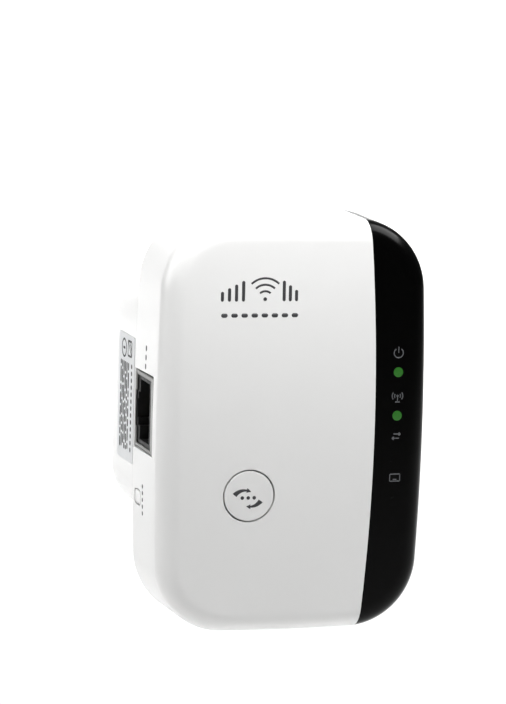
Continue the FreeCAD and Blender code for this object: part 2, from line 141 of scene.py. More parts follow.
def addStudio(setup):
    world = bpy.data.worlds.new("studio")
    world.use_nodes = True
    tree = world.node_tree
    seen = tree.nodes["Background"]
    seen.inputs["Color"].default_value = (1, 1, 1, 1)
    seen.inputs["Strength"].default_value = setup["worldSeen"]
    lit = addNode(tree, "ShaderNodeBackground", {"Color": (1, 1, 1, 1), "Strength": setup["worldLight"]})
    ray = addNode(tree, "ShaderNodeLightPath")
    pick = addNode(tree, "ShaderNodeMixShader", {0: ray.outputs["Is Camera Ray"], 1: lit.outputs[0],
                                                 2: seen.outputs[0]})
    tree.links.new(pick.outputs[0], tree.nodes["World Output"].inputs[0])
    bpy.context.scene.world = world
    for name, values in setup["lamps"].items():
        addLamp(name, *values)
    return addSweep(setup["sweep"], cadBox[0][2] / metresPerMillimetre - setup["floorBelow"])


# materials: one node adder and a few finishes built from it
def addNode(tree, kind, inputs=None, **settings):
    # makes a node, sets its settings, then fills or links its inputs
    node = tree.nodes.new(kind)
    for key, value in settings.items():
        setattr(node, key, value)
    for key, value in (inputs or {}).items():
        if isinstance(value, bpy.types.NodeSocket):
            tree.links.new(value, node.inputs[key])
        else:
            node.inputs[key].default_value = value
    return node


def newFinish(name):
    finish = bpy.data.materials.new(name)
    finish.use_nodes = True
    tree = finish.node_tree
    shader = tree.nodes["Principled BSDF"]
    place = addNode(tree, "ShaderNodeTexCoord").outputs["Object"]
    return finish, tree, shader, place


def perMetre(size):
    # a texture scale whose features are about this many millimetres across
    return 1000.0 / size


def joinShader(tree, shader, colour, gloss, bump):
    tree.links.new(colour.outputs["Result"], shader.inputs["Base Color"])
    tree.links.new(gloss.outputs["Result"], shader.inputs["Roughness"])
    tree.links.new(bump.outputs["Normal"], shader.inputs["Normal"])


def moulded(name, look):
    # colour drifts by a large noise, roughness by a middle one, and the bump is a fine one
    finish, tree, shader, place = newFinish(name)
    tone = addNode(tree, "ShaderNodeTexNoise", {"Vector": place, "Scale": perMetre(look["driftSize"]),
                                                "Detail": look.get("driftDetail", 3.0)})
    light, dark = toLinear(look["colour"]), toLinear(look["shade"])
    colour = addNode(tree, "ShaderNodeMix", {"Factor": tone.outputs["Fac"], "A": (*dark, 1), "B": (*light, 1)},
                     data_type="RGBA")
    wear = addNode(tree, "ShaderNodeTexNoise", {"Vector": place, "Scale": perMetre(look["glossSize"]), "Detail": 5.0})
    gloss = addNode(tree, "ShaderNodeMapRange", {"Value": wear.outputs["Fac"], "From Min": 0.3, "From Max": 0.7,
                                                 "To Min": look["rough"][0], "To Max": look["rough"][1]})
    grain = addNode(tree, "ShaderNodeTexNoise", {"Vector": place, "Scale": perMetre(look["grainSize"]), "Detail": 2.0})
    bump = addNode(tree, "ShaderNodeBump", {"Height": grain.outputs["Fac"], "Strength": look.get("strength", 0.5),
                                            "Distance": look["grainDepth"] * metresPerMillimetre})
    joinShader(tree, shader, colour, gloss, bump)
    for key, value in look.get("shader", {}).items():
        shader.inputs[key].default_value = value
    return finish


def brushed(name, look):
    # streaks are a noise stretched along one axis, which moves both tone and roughness
    finish, tree, shader, place = newFinish(name)
    squeeze = addNode(tree, "ShaderNodeMapping", {"Vector": place, "Scale": look["stretch"]})
    streak = addNode(tree, "ShaderNodeTexNoise", {"Vector": squeeze.outputs["Vector"],
                                                  "Scale": perMetre(look["streakSize"]), "Detail": 4.0})
    light, dark = toLinear(look["colour"]), toLinear(look["shade"])
    colour = addNode(tree, "ShaderNodeMix", {"Factor": streak.outputs["Fac"], "A": (*dark, 1), "B": (*light, 1)},
                     data_type="RGBA")
    gloss = addNode(tree, "ShaderNodeMapRange", {"Value": streak.outputs["Fac"], "From Min": 0.3, "From Max": 0.7,
                                                 "To Min": look["rough"][0], "To Max": look["rough"][1]})
    bump = addNode(tree, "ShaderNodeBump", {"Height": streak.outputs["Fac"], "Strength": 0.4,
                                            "Distance": look["grainDepth"] * metresPerMillimetre})
    joinShader(tree, shader, colour, gloss, bump)
    shader.inputs["Metallic"].default_value = 1.0
    return finish


def circuitBoard(name, look):
    # copper runs under the mask: a brick pattern's joints lift the tone and the height a little
    finish, tree, shader, place = newFinish(name)
    turned = addNode(tree, "ShaderNodeMapping", {"Vector": place, "Rotation": (math.radians(90), 0, 0)})
    runs = addNode(tree, "ShaderNodeTexBrick", {"Vector": turned.outputs["Vector"], "Scale": perMetre(look["runSize"]),
                                                "Mortar Size": 0.09, "Color1": (0, 0, 0, 1),
                                                "Color2": (0.15, 0.15, 0.15, 1), "Mortar": (1, 1, 1, 1)})
    mask = addNode(tree, "ShaderNodeTexNoise", {"Vector": place, "Scale": perMetre(look["maskSize"]), "Detail": 3.0})
    light, dark = toLinear(look["colour"]), toLinear(look["shade"])
    colour = addNode(tree, "ShaderNodeMix", {"Factor": runs.outputs["Color"], "A": (*dark, 1), "B": (*light, 1)},
                     data_type="RGBA")
    gloss = addNode(tree, "ShaderNodeMapRange", {"Value": mask.outputs["Fac"], "To Min": look["rough"][0],
                                                 "To Max": look["rough"][1]})
    bump = addNode(tree, "ShaderNodeBump", {"Height": runs.outputs["Color"], "Strength": 0.5,
                                            "Distance": look["runDepth"] * metresPerMillimetre})
    joinShader(tree, shader, colour, gloss, bump)
    return finish


def grained(colour, shade, driftSize, glossSize, rough, grainSize, grainDepth, **others):
    return dict(colour=colour, shade=shade, driftSize=driftSize, glossSize=glossSize, rough=rough,
                grainSize=grainSize, grainDepth=grainDepth, **others)


# each: two tones, size of their drift, size of the gloss patches, roughness range, grain size and depth
finishLooks = {
    # polished mould: bright and a little wavy, so that reflections wander slightly
    "whiteAbsPolishedMould": grained("f3f3f2", "f0f0ef", 70, 30, (0.25, 0.27), 2.2, 0.006, driftDetail=0.0,
                                     strength=0.12),
    # the same white in a plainer tool: slightly duller than the covers
    "whiteAbsFineTool": grained("f2f2f1", "efefee", 12, 6, (0.28, 0.34), 1.1, 0.004, strength=0.3),
    # deep black with a soft gloss that shows only as a glint round its top corner
    "blackAcrylicPolished": grained("040404", "020202", 25, 7, (0.18, 0.22), 3.0, 0.003, strength=0.2,
                                    shader={"Specular IOR Level": 0.09}),
    # cool pale grey film under satin varnish, with a fibre mottling
    "labelFilmSatin": grained("e3e5e6", "d9dbdd", 1.2, 3, (0.38, 0.52), 0.25, 0.003),
    # printed inks, thin and slightly uneven: dark grey on white, dim silver on black, near black on the film
    "padInkDarkGrey": grained("3f3f41", "343436", 0.8, 0.6, (0.45, 0.6), 0.15, 0.002),
    "padInkDimSilver": grained("5f6164", "505255", 0.6, 0.6, (0.35, 0.5), 0.15, 0.002),
    "labelInkBlack": grained("1c1c1e", "111113", 0.5, 0.6, (0.5, 0.65), 0.12, 0.002),
    # nylons with a dry, spark-eroded face: they stay dull in the jack's mouth and on the switches
    "blackNylonMatt": grained("131314", "0b0b0c", 4, 1.5, (0.5, 0.68), 0.18, 0.010),
    "plungerNylonMatt": grained("1b1b1c", "121213", 2, 1, (0.42, 0.6), 0.15, 0.008),
    # moulded epoxy: dull charcoal with a sandy face
    "epoxyChipMoulded": grained("1c1c1e", "131315", 2.5, 1, (0.55, 0.75), 0.12, 0.009),
    # sintered ferrite: coarse grey-black with a stony grain
    "ferriteSintered": grained("38383b", "242427", 0.9, 0.8, (0.6, 0.8), 0.2, 0.020),
    # fired ceramics: tan chips, and a blue lacquered disc that looks dipped
    "chipCeramicFired": grained("b09a80", "947d62", 0.5, 0.5, (0.35, 0.5), 0.12, 0.006),
    "discCeramicLacquered": grained("2b5fae", "1f4c92", 1.6, 1.2, (0.22, 0.38), 0.5, 0.020),
    # coil parts: dark phenolic bobbin under glossy yellow tape
    "bobbinPhenolic": grained("35332f", "25231f", 1.5, 1, (0.45, 0.6), 0.2, 0.010),
    "windingTapeYellow": grained("e2bd3a", "cda22a", 1.6, 1.2, (0.25, 0.42), 0.8, 0.020),
    # shrunk sleeves: tight glossy skins, blue-black on the capacitors and black on the coil
    "capacitorSleeveShrunk": grained("202533", "161a26", 3, 1.5, (0.22, 0.36), 0.6, 0.012),
    "coilSleeveShrunk": grained("1a1a1b", "101011", 2, 1.5, (0.35, 0.5), 0.6, 0.015),
    # lacquered resistor body, and the red and black sleeves of the leads
    "resistorLacquerGreen": grained("7fa594", "668d7b", 0.9, 0.8, (0.35, 0.55), 0.3, 0.012),
    "leadSleeveRed": grained("b3201d", "981613", 2, 1, (0.3, 0.45), 0.5, 0.006),
    "leadSleeveBlack": grained("161617", "0e0e0f", 2, 1, (0.3, 0.45), 0.5, 0.006),
    # clear light pipe: slightly green at its edges
    "clearAcrylicMoulded": grained("eef4f0", "e4ede8", 3, 2, (0.05, 0.12), 1.0, 0.003,
                                   shader={"Transmission Weight": 0.9, "IOR": 1.49}),
    # lens ends over the lit lamps: deep green with a painted glow, an emission that stands in for the lamps' light
    # coming up the pins
    "lensEndLitGreen": grained("2a5f24", "1f4f1c", 0.7, 0.7, (0.15, 0.25), 0.4, 0.003,
                               shader={"Emission Color": (*toLinear("3a8f2b"), 1), "Emission Strength": 0.22}),
    # lamp chips: the lit ones glow green, the dark ones show pale resin
    "lampChipLit": grained("c9f2c0", "a9e29c", 0.4, 0.4, (0.2, 0.3), 0.1, 0.003,
                           shader={"Emission Color": (*toLinear("58d040"), 1), "Emission Strength": 3.0}),
    "lampChipDark": grained("d8dbc8", "c2c6ae", 0.4, 0.4, (0.2, 0.35), 0.1, 0.003),
}
metalLooks = {
    # plated blades: warm bright metal with fine drawing lines along them
    "nickelPlatedBrass": dict(colour="d6d2c6", shade="b8b4a6", stretch=(1, 0.05, 1), streakSize=0.12,
                              rough=(0.16, 0.30), grainDepth=0.002),
    # tinned sheet: pale grey with rolling streaks
    "tinnedSheetSteel": dict(colour="cfd0cd", shade="aeb0ad", stretch=(0.08, 1, 1), streakSize=0.15,
                             rough=(0.25, 0.42), grainDepth=0.003),
    # jack shell: nickel with painted shade, its colour darkened to the mid grey that it shows in the cover's shade
    "nickelSheetPaintedShade": dict(colour="8b8b89", shade="686866", stretch=(1, 1, 0.06), streakSize=0.12,
                              rough=(0.30, 0.46), grainDepth=0.002),
    # gold flash on the contacts: a warm glint deep in the jack
    "goldFlashedSpring": dict(colour="e0b45a", shade="c8993f", stretch=(0.1, 1, 1), streakSize=0.1,
                              rough=(0.15, 0.28), grainDepth=0.001),
    # zinc on the screws: bluish and slightly cloudy
    "zincPlatedScrew": dict(colour="b4b6b8", shade="8e9194", stretch=(1, 1, 1), streakSize=0.4,
                            rough=(0.28, 0.45), grainDepth=0.004),
}
boardLooks = {
    # solder mask over copper: the runs show through as paler lines
    "boardMaskGreen": dict(colour="1f7a4a", shade="0f5c35", runSize=2.4, runDepth=0.03, maskSize=1.5,
                           rough=(0.28, 0.42)),
    # bare paper laminate of the power board: tan and dull
    "boardLaminateTan": dict(colour="c9a873", shade="b08c58", runSize=3.6, runDepth=0.03, maskSize=1.2,
                             rough=(0.4, 0.6)),
}


def makeFinishes():
    made = {name: moulded(name, look) for name, look in finishLooks.items()}
    made.update({name: brushed(name, look) for name, look in metalLooks.items()})
    made.update({name: circuitBoard(name, look) for name, look in boardLooks.items()})
    return made


finishes = makeFinishes()
slotFinish = {
    "white_shell": "whiteAbsPolishedMould", "white_button": "whiteAbsFineTool", "black_panel": "blackAcrylicPolished",
    "label_film": "labelFilmSatin", "blade_metal": "nickelPlatedBrass", "switch_plastic": "blackNylonMatt",
    "switch_plunger": "plungerNylonMatt", "tinned_steel": "tinnedSheetSteel", "clear_guide": "clearAcrylicMoulded",
    "jack_metal": "nickelSheetPaintedShade", "jack_plastic": "blackNylonMatt", "contact_gold": "goldFlashedSpring",
    "green_board": "boardMaskGreen", "tan_board": "boardLaminateTan", "screw_steel": "zincPlatedScrew",
    "chip_plastic": "epoxyChipMoulded", "ferrite": "ferriteSintered", "chip_ceramic": "chipCeramicFired",
    "disc_ceramic": "discCeramicLacquered", "bobbin_plastic": "bobbinPhenolic", "winding_tape": "windingTapeYellow",
    "capacitor_sleeve": "capacitorSleeveShrunk", "coil_sleeve": "coilSleeveShrunk",
    "resistor_body": "resistorLacquerGreen", "lead_red": "leadSleeveRed", "lead_black": "leadSleeveBlack",
    "led_lit": "lampChipLit", "led_unlit": "lampChipDark",
}
nodeSlot = {part["node"]: part["material_slot"] for part in frame["record"]["subparts"]}
for nodeName, node in frame["nodes"].items():
    finish = finishes[slotFinish[nodeSlot[nodeName]]]
    for place in node.material_slots:
        place.material = finish
    if not node.material_slots:
        node.data.materials.append(finish)
print("finishes made:", len(finishes))

addCamera(viewpoint)
floor = addStudio(studio)
floor.data.materials.append(moulded("paleFloorPaper", dict(
    colour="f4f4f4", shade="f1f1f1", driftSize=300, glossSize=60, rough=(0.7, 0.85), grainSize=2, grainDepth=0.01)))
bpy.context.scene.view_settings.view_transform = "Standard"
print("camera, lamps and floor placed")


# the body's surface: one function of the outline's turn and of a level from the parting line to the front
body = {
    "width": 55.5, "height": 82.6, "sideBow": 1.2, "endBow": 0.75, "corner": 14.6,
    "draft": math.radians(1.6),
    "crown": 700.0, "edge": 4.5,
    "front": -41.1, "rear": -20.4, "parting": -21.6, "middle": -1.6,
    "seamX": 16.0, "seamRadius": 500.0, "seamGap": 0.06,
    "jackFront": -34.4, "jackHalf": 7.95,
}


def bowRadius(halfChord, bow):
    return (halfChord ** 2 + bow ** 2) / (2 * bow)


def outlineArcs(b):
    # centres, radii and starting turns of the eight arcs, from the right-hand side round by the top
    sideRadius = bowRadius(b["height"] / 2, b["sideBow"])
    endRadius = bowRadius(b["width"] / 2, b["endBow"])
    sideX = b["width"] / 2 - sideRadius
    endZ = b["height"] / 2 - endRadius
    apart = math.hypot(sideX, endZ)
    nearSide, nearEnd = sideRadius - b["corner"], endRadius - b["corner"]
    along = (apart ** 2 + nearSide ** 2 - nearEnd ** 2) / (2 * apart)
    across = math.sqrt(nearSide ** 2 - along ** 2)
    cornerX = sideX - along * sideX / apart - across * endZ / apart
    cornerZ = along * endZ / apart - across * sideX / apart
    low = math.atan2(cornerZ, cornerX - sideX)
    high = math.atan2(cornerZ - endZ, cornerX)
    starts = np.array([-low, low, high, math.pi - high, math.pi - low, math.pi + low, math.pi + high,
                       2 * math.pi - high, 2 * math.pi - low])
    centreX = np.array([sideX, cornerX, 0, -cornerX, -sideX, -cornerX, 0, cornerX])
    centreZ = np.array([0, cornerZ, endZ, cornerZ, 0, -cornerZ, -endZ, -cornerZ])
    radius = np.array([sideRadius, b["corner"], endRadius, b["corner"]] * 2)
    return starts, centreX, centreZ, radius


arcStarts, arcX, arcZ, arcRadius = outlineArcs(body)


def outlinePoint(turn, inset):
    # the centre of the arc that the turn falls on, plus (radius - inset) times the outward direction
    wrapped = np.mod(turn - arcStarts[0], 2 * math.pi) + arcStarts[0]
    index = np.clip(np.searchsorted(arcStarts, wrapped, side="right") - 1, 0, 7)
    reach = arcRadius[index] - inset
    return arcX[index] + reach * np.cos(turn), arcZ[index] + reach * np.sin(turn) + body["middle"]


def crownY(x, z):
    # the front face is part of a sphere centred behind it
    return body["front"] + body["crown"] - np.sqrt(body["crown"] ** 2 - x ** 2 - (z - body["middle"]) ** 2)


def seamX(z):
    # the black panel's left edge is an arc of a large circle
    return body["seamX"] - body["seamRadius"] + np.sqrt(body["seamRadius"] ** 2 - (z - body["middle"]) ** 2)


def edgeBall(turn):
    # the ball that rounds the front edge: its centre is one radius inside both the leaning wall and the crown
    lean, edge = body["draft"], body["edge"]
    y = np.full(np.shape(turn), body["front"] + edge)
    for _ in range(12):
        inset = (body["rear"] - y) * math.tan(lean) + edge / math.cos(lean)
        x, z = outlinePoint(turn, inset)
        y = body["front"] + body["crown"] - np.sqrt((body["crown"] - edge) ** 2 - x ** 2 - (z - body["middle"]) ** 2)
    centre = np.stack([x, y, z], -1)
    wallSide = np.stack([np.cos(turn) * math.cos(lean), np.full(np.shape(turn), -math.sin(lean)),
                         np.sin(turn) * math.cos(lean)], -1)
    heart = np.array([0, body["front"] + body["crown"], body["middle"]])
    frontSide = (centre - heart) / np.linalg.norm(centre - heart, axis=-1, keepdims=True)
    return centre, wallSide, frontSide


def bodyPoint(turn, level):
    # level 0 to 1 runs from the parting line to the jack's front edge, 1 to 2 on to the rounding, 2 to 3 round it
    turn, level = np.broadcast_arrays(turn, level)
    centre, wallSide, frontSide = edgeBall(turn)
    touchY = centre[..., 1] + body["edge"] * wallSide[..., 1]
    y = body["parting"] + (body["jackFront"] - body["parting"]) * np.clip(level, 0, 1)
    y = y + (touchY - body["jackFront"]) * np.clip(level - 1, 0, 1)
    x, z = outlinePoint(turn, (body["rear"] - y) * math.tan(body["draft"]))
    wall = np.stack([x, y, z], -1)
    between = np.arccos(np.clip((wallSide * frontSide).sum(-1), -1, 1))[..., None]
    share = np.clip(level - 2, 0, 1)[..., None]
    way = (np.sin((1 - share) * between) * wallSide + np.sin(share * between) * frontSide) / np.sin(between)
    return np.where(level[..., None] > 2, centre + body["edge"] * way, wall)


def seamTurn(level, gap):
    # halving: where each level's line meets the seam near the top
    near, far = np.full(level.shape, math.pi / 4), np.full(level.shape, math.pi / 2)
    for _ in range(44):
        middle = (near + far) / 2
        point = bodyPoint(middle, level)
        beyond = point[..., 0] > seamX(point[..., 2]) + gap
        near, far = np.where(beyond, middle, near), np.where(beyond, far, middle)
    return near


def gridFaces(rows, columns, keep=None, start=0):
    # four corners of every cell of a grid of points stored row by row
    row, column = np.meshgrid(np.arange(rows - 1), np.arange(columns - 1), indexing="ij")
    if keep is not None:
        row, column = row[keep], column[keep]
    corner = (row * columns + column + start).reshape(-1)
    return np.stack([corner, corner + 1, corner + columns + 1, corner + columns], -1)


def edgeReach(angle, half, corner):
    # distance from the middle of a rounded rectangle to its edge at each angle, by halving
    way = np.stack([np.cos(angle), np.sin(angle)], -1)
    near, far = np.zeros(angle.shape), np.full(angle.shape, 3.0 * max(half))
    core = np.array(half) - corner
    for _ in range(44):
        middle = (near + far) / 2
        offset = np.abs(way * middle[:, None]) - core
        outside = np.linalg.norm(np.maximum(offset, 0), axis=-1) + np.minimum(offset.max(-1), 0) > corner
        near, far = np.where(outside, near, middle), np.where(outside, middle, far)
    return near


def openHole(flat, keep, hole, rings, lift):
    # drops a block of cells round the hole and fills the gap with rings from the block's border to the hole's edge
    offset = np.abs(flat - np.array(hole["at"]))
    near = (offset[..., 0] < hole["half"][0] + hole["margin"]) & (offset[..., 1] < hole["half"][1] + hole["margin"])
    rows, columns = np.where(near.any(1))[0], np.where(near.any(0))[0]
    r0, r1 = max(rows[0] - 1, 0), min(rows[-1] + 1, flat.shape[0] - 1)
    c0, c1 = max(columns[0] - 1, 0), min(columns[-1] + 1, flat.shape[1] - 1)
    keep[r0:r1, c0:c1] = False
    border = np.concatenate([flat[r0, c0:c1], flat[r0:r1, c1], flat[r1, c1:c0:-1], flat[r1:r0:-1, c0]])
    away = border - np.array(hole["at"])
    angle = np.arctan2(away[:, 1], away[:, 0])
    rim = np.array(hole["at"]) + edgeReach(angle, hole["half"], hole["corner"])[:, None] * np.stack(
        [np.cos(angle), np.sin(angle)], -1)
    share = np.linspace(0, 1, rings)[:, None, None]
    loops = border[None] * (1 - share) + rim[None] * share
    closed = np.concatenate([loops, loops[:, :1]], 1)
    return lift(closed), gridFaces(closed.shape[0], closed.shape[1])


def joinGrids(grids):
    # stacks the points of several grids and shifts their faces to match
    points, faces, start = [], [], 0
    for gridPoints, gridCells in grids:
        points.append(gridPoints.reshape(-1, 3))
        faces.append(gridCells + start)
        start += points[-1].shape[0]
    return np.concatenate(points), np.concatenate(faces)


def turnOutward(points, faces, heart):
    # flips every face whose normal points towards the heart of a rounded, closed form
    a, b, c, d = (points[faces[:, i]] for i in range(4))
    normal = np.cross(c - a, d - b)
    inward = (normal * ((a + b + c + d) / 4 - np.array(heart))).sum(-1) < 0
    return np.where(inward[:, None], faces[:, ::-1], faces)


def closedGrid(grid, heart):
    # a grid of points with its faces, all turned away from the heart
    return grid, turnOutward(grid.reshape(-1, 3), gridFaces(*grid.shape[:2]), heart)


def makePiece(name, points, faces, finish, ride="housing", replaced=(), heart=None, sharp=38,
              wall=0.0, bevel=0.0, others=(), finishOf=None):
    # points in millimetres into a mesh, doubles merged, then the wall's thickness and its softened edges
    points = points.reshape(-1, 3)
    if heart is not None:
        faces = turnOutward(points, faces, heart)
    mesh = bpy.data.meshes.new(name)
    mesh.from_pydata((points * metresPerMillimetre).tolist(), [], faces.tolist())
    if finishOf is not None:
        mesh.polygons.foreach_set("material_index", finishOf.astype(np.int32))
    work = bmesh.new()
    work.from_mesh(mesh)
    bmesh.ops.remove_doubles(work, verts=work.verts, dist=0.002 * metresPerMillimetre)
    bmesh.ops.dissolve_degenerate(work, edges=work.edges, dist=0.0005 * metresPerMillimetre)
    work.to_mesh(mesh)
    work.free()
    for each in (finish, *others):
        mesh.materials.append(finishes[each])
    piece = bpy.data.objects.new(name, mesh)
    bpy.context.scene.collection.objects.link(piece)
    mesh.shade_smooth()
    mesh.set_sharp_from_angle(angle=math.radians(sharp))
    if wall:
        thick = piece.modifiers.new("wall", "SOLIDIFY")
        thick.thickness = wall * metresPerMillimetre
        thick.offset = -1
    if bevel:
        soft = piece.modifiers.new("edges", "BEVEL")
        soft.width = bevel * metresPerMillimetre
        soft.segments = 2
        soft.limit_method = "ANGLE"
        soft.angle_limit = math.radians(50)
        soft.harden_normals = True
    if replaced:
        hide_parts(*replaced)
    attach(piece, ride)
    return piece


heart = (0, -30, body["middle"])
columnCounts = {"seam": 4, "end": 44, "corner": 40, "sideOuter": 32, "sideMiddle": 26}


def arcSteps(start, end, count):
    return np.linspace(start, end, count, endpoint=False)


def coverTurns():
    # fixed columns from the start of the top arc, round by the left side, to the end of the bottom arc
    counts = columnCounts
    jackTurn = math.asin(body["jackHalf"] / arcRadius[4])
    s = arcStarts
    steps = [
        arcSteps(s[2], s[3], counts["end"]), arcSteps(s[3], s[4], counts["corner"]),
        arcSteps(s[4], math.pi - jackTurn, counts["sideOuter"]),
        arcSteps(math.pi - jackTurn, math.pi + jackTurn, counts["sideMiddle"]),
        arcSteps(math.pi + jackTurn, s[5], counts["sideOuter"]),
        arcSteps(s[5], s[6], counts["corner"]), arcSteps(s[6], s[7], counts["end"]), s[7:8],
    ]
    return np.concatenate(steps)


wallRows = 19  # rows from the parting line to the jack's front edge


def coverLevels():
    return np.concatenate([np.linspace(0, 1, wallRows), np.linspace(1, 2, 4)[1:], np.linspace(2, 3, 15)[1:]])


def seamStretch(fixed, level, gap):
    # joins each level's own seam crossing to the fixed columns with a few evenly spaced ones
    crossing = seamTurn(level, gap)
    share = np.linspace(0, 1, columnCounts["seam"])[None, :-1]
    lead = crossing[:, None] * (1 - share) + fixed[0] * share
    tail = (2 * math.pi - lead)[:, ::-1]
    middle = np.broadcast_to(fixed, (level.size, fixed.size))
    return np.concatenate([lead, middle, tail], 1)


def frontGrid(rim, gap, count):
    # straight lines, seen from the front, from each point of the rounding's edge to the seam
    step = np.linalg.norm(np.diff(rim[:, [0, 2]], axis=0), axis=1)
    share = np.concatenate([[0], np.cumsum(step)]) / step.sum()
    z = rim[0, 2] + (rim[-1, 2] - rim[0, 2]) * share
    seam = np.stack([seamX(z) + gap, z], -1)
    along = np.linspace(0, 1, count)[:, None, None]
    return rim[None][..., [0, 2]] * (1 - along) + seam[None] * along


def onCrown(flat):
    return np.stack([flat[..., 0], crownY(flat[..., 0], flat[..., 1]), flat[..., 1]], -1)


def onLeftWall(flat):
    # flat holds y and z: the outline's left arc, set in by the draft
    y, z = flat[..., 0], flat[..., 1]
    reach = arcRadius[4] - (body["rear"] - y) * math.tan(body["draft"])
    return np.stack([arcX[4] - np.sqrt(reach ** 2 - (z - body["middle"]) ** 2), y, z], -1)


frontCover = {
    "wall": 2.1, "bevel": 0.04,
    "buttonHole": {"at": (-9.3, -14.6), "half": (5.25, 5.25), "corner": 5.25, "margin": 1.3},
    "resetHole": {"at": (-24.6, -17.3), "half": (2.2, 1.65), "corner": 1.1, "margin": 0.5},
    "frontLines": 52, "leftOf": -20.0,
}
farAway = 999.0  # keeps the right-hand wall out of the key's hole


def buildFrontCover(c):
    fixed, levels = coverTurns(), coverLevels()
    turns = seamStretch(fixed, levels, 0)
    strip = bodyPoint(turns, levels[:, None])
    keep = np.ones((strip.shape[0] - 1, strip.shape[1] - 1), bool)
    middleZ = (strip[0, 1:, 2] + strip[0, :-1, 2]) / 2
    atJack = (np.abs(middleZ) < body["jackHalf"]) & (strip[0, 1:, 0] < 0)
    keep[:wallRows - 1, atJack] = False
    onLeft = strip[0, :, 0] < c["leftOf"]
    flatWall = np.where(onLeft[None, :, None], strip[..., 1:], farAway)
    resetPatch = openHole(flatWall, keep, c["resetHole"], 5, onLeftWall)
    flat = frontGrid(strip[-1], 0, c["frontLines"])
    frontKeep = np.ones((flat.shape[0] - 1, flat.shape[1] - 1), bool)
    buttonPatch = openHole(flat, frontKeep, c["buttonHole"], 6, onCrown)
    grids = [(strip, gridFaces(*strip.shape[:2], keep)), (onCrown(flat), gridFaces(*flat.shape[:2], frontKeep)),
             resetPatch, buttonPatch]
    points, faces = joinGrids(grids)
    makePiece("frontCover", points, faces, "whiteAbsPolishedMould", replaced=("front_cover",),
              heart=heart, wall=c["wall"], bevel=c["bevel"])


panel = {
    "wall": 1.1, "bevel": 0.1, "lines": 16, "sideColumns": 100, "endColumns": 40,
    "lensX": 20.6, "lensZ": [9.3 - 8.62 * number for number in range(4)], "lensRadius": 1.0, "margin": 0.3,
}


def buildPanel(p):
    levels = coverLevels()
    sideStart = arcStarts[1]
    crossing = seamTurn(levels, body["seamGap"])
    middle = np.broadcast_to(np.linspace(sideStart, -sideStart, p["sideColumns"])[None, 1:-1],
                             (levels.size, p["sideColumns"] - 2))
    lead = crossing[:, None] + (sideStart - crossing[:, None]) * np.linspace(0, 1, p["endColumns"])[None, :]
    turns = np.concatenate([lead, middle, -lead[:, ::-1]], 1)
    strip = bodyPoint(turns, levels[:, None])
    flat = frontGrid(strip[-1], body["seamGap"], p["lines"])
    keep = np.ones((flat.shape[0] - 1, flat.shape[1] - 1), bool)
    grids = [(strip, gridFaces(*strip.shape[:2]))]
    for z in p["lensZ"]:
        hole = {"at": (p["lensX"], z), "half": (p["lensRadius"],) * 2, "corner": p["lensRadius"], "margin": p["margin"]}
        grids.append(openHole(flat, keep, hole, 3, onCrown))
    grids.append((onCrown(flat), gridFaces(*flat.shape[:2], keep)))
    points, faces = joinGrids(grids)
    makePiece("ledPanel", points, faces, "blackAcrylicPolished", replaced=("led_panel",),
              heart=heart, wall=p["wall"], bevel=p["bevel"])


buildFrontCover(frontCover)
buildPanel(panel)
print("covers built")


# controls: a round button and a small key, both flush with the skin round them
def latheCap(at, radii, depths, fixedY, count):
    # circles about a line along Y: those with a depth follow the crown, the others stand at a fixed Y
    angle = np.linspace(0, 2 * math.pi, count)
    x = at[0] + radii[:, None] * np.cos(angle)
    z = at[1] + radii[:, None] * np.sin(angle)
    y = np.where(np.isnan(fixedY)[:, None], crownY(x, z) + depths[:, None], fixedY[:, None])
    return np.stack([x, y, z], -1)


def quarterRound(radius, count):
    # across and down from the start of a quarter circle that rounds a top into a side
    angle = np.linspace(0, math.pi / 2, count)
    return radius * np.sin(angle), radius * (1 - np.cos(angle))


button = {
    "at": (-9.3, -14.6), "radius": 4.92, "edge": 0.09, "flangeRadius": 6.3, "flangeY": (-38.2, -37.6),
    "stemRadius": 1.5, "stemY": -37.5,
}


def buildButton(b):
    across, down = quarterRound(b["edge"], 6)
    flat = b["radius"] - b["edge"]
    radii = np.concatenate([np.linspace(0, flat, 12)[:-1], flat + across])
    depths = np.concatenate([np.zeros(11), down])
    front, back = b["flangeY"]
    behind = [(b["radius"], front), (b["flangeRadius"], front), (b["flangeRadius"], back),
              (b["stemRadius"], back), (b["stemRadius"], b["stemY"]), (0.0, b["stemY"])]
    fixedY = np.concatenate([np.full(radii.size, np.nan), [y for _, y in behind]])
    radii = np.concatenate([radii, [r for r, _ in behind]])
    depths = np.concatenate([depths, np.zeros(len(behind))])
    points = latheCap(b["at"], radii, depths, fixedY, 97)
    faces = gridFaces(*points.shape[:2])
    makePiece("frontButton", points, faces, "whiteAbsFineTool", ride="button",
              replaced=("front_button",), heart=(b["at"][0], -39.2, b["at"][1]), sharp=40)


def roundedBlock(low, high, radius, count=5):
    # every point of a small ball, moved out to the block's corner that its octant points at
    low, high = np.array(low, float), np.array(high, float)
    half = (high - low) / 2 - radius
    quarter = np.linspace(0, math.pi / 2, count)
    around = np.concatenate([quarter + number * math.pi / 2 for number in range(4)] + [quarter[:1]])
    signX = np.concatenate([np.full(count, value) for value in (1, -1, -1, 1)] + [[1]])
    signY = np.concatenate([np.full(count, value) for value in (1, 1, -1, -1)] + [[1]])
    up = np.concatenate([quarter - math.pi / 2, quarter])
    signZ = np.concatenate([np.full(count, -1), np.full(count, 1)])
    x = radius * np.cos(up)[:, None] * np.cos(around) + signX * half[0]
    y = radius * np.cos(up)[:, None] * np.sin(around) + signY * half[1]
    z = np.broadcast_to((radius * np.sin(up) + signZ * half[2])[:, None], x.shape)
    points = np.stack([x, y, z], -1)
    top = np.broadcast_to(np.array([0, 0, half[2] + radius]), (1, points.shape[1], 3))
    points = np.concatenate([-top * [1, 1, 1], points, top], 0) + (low + high) / 2
    return points


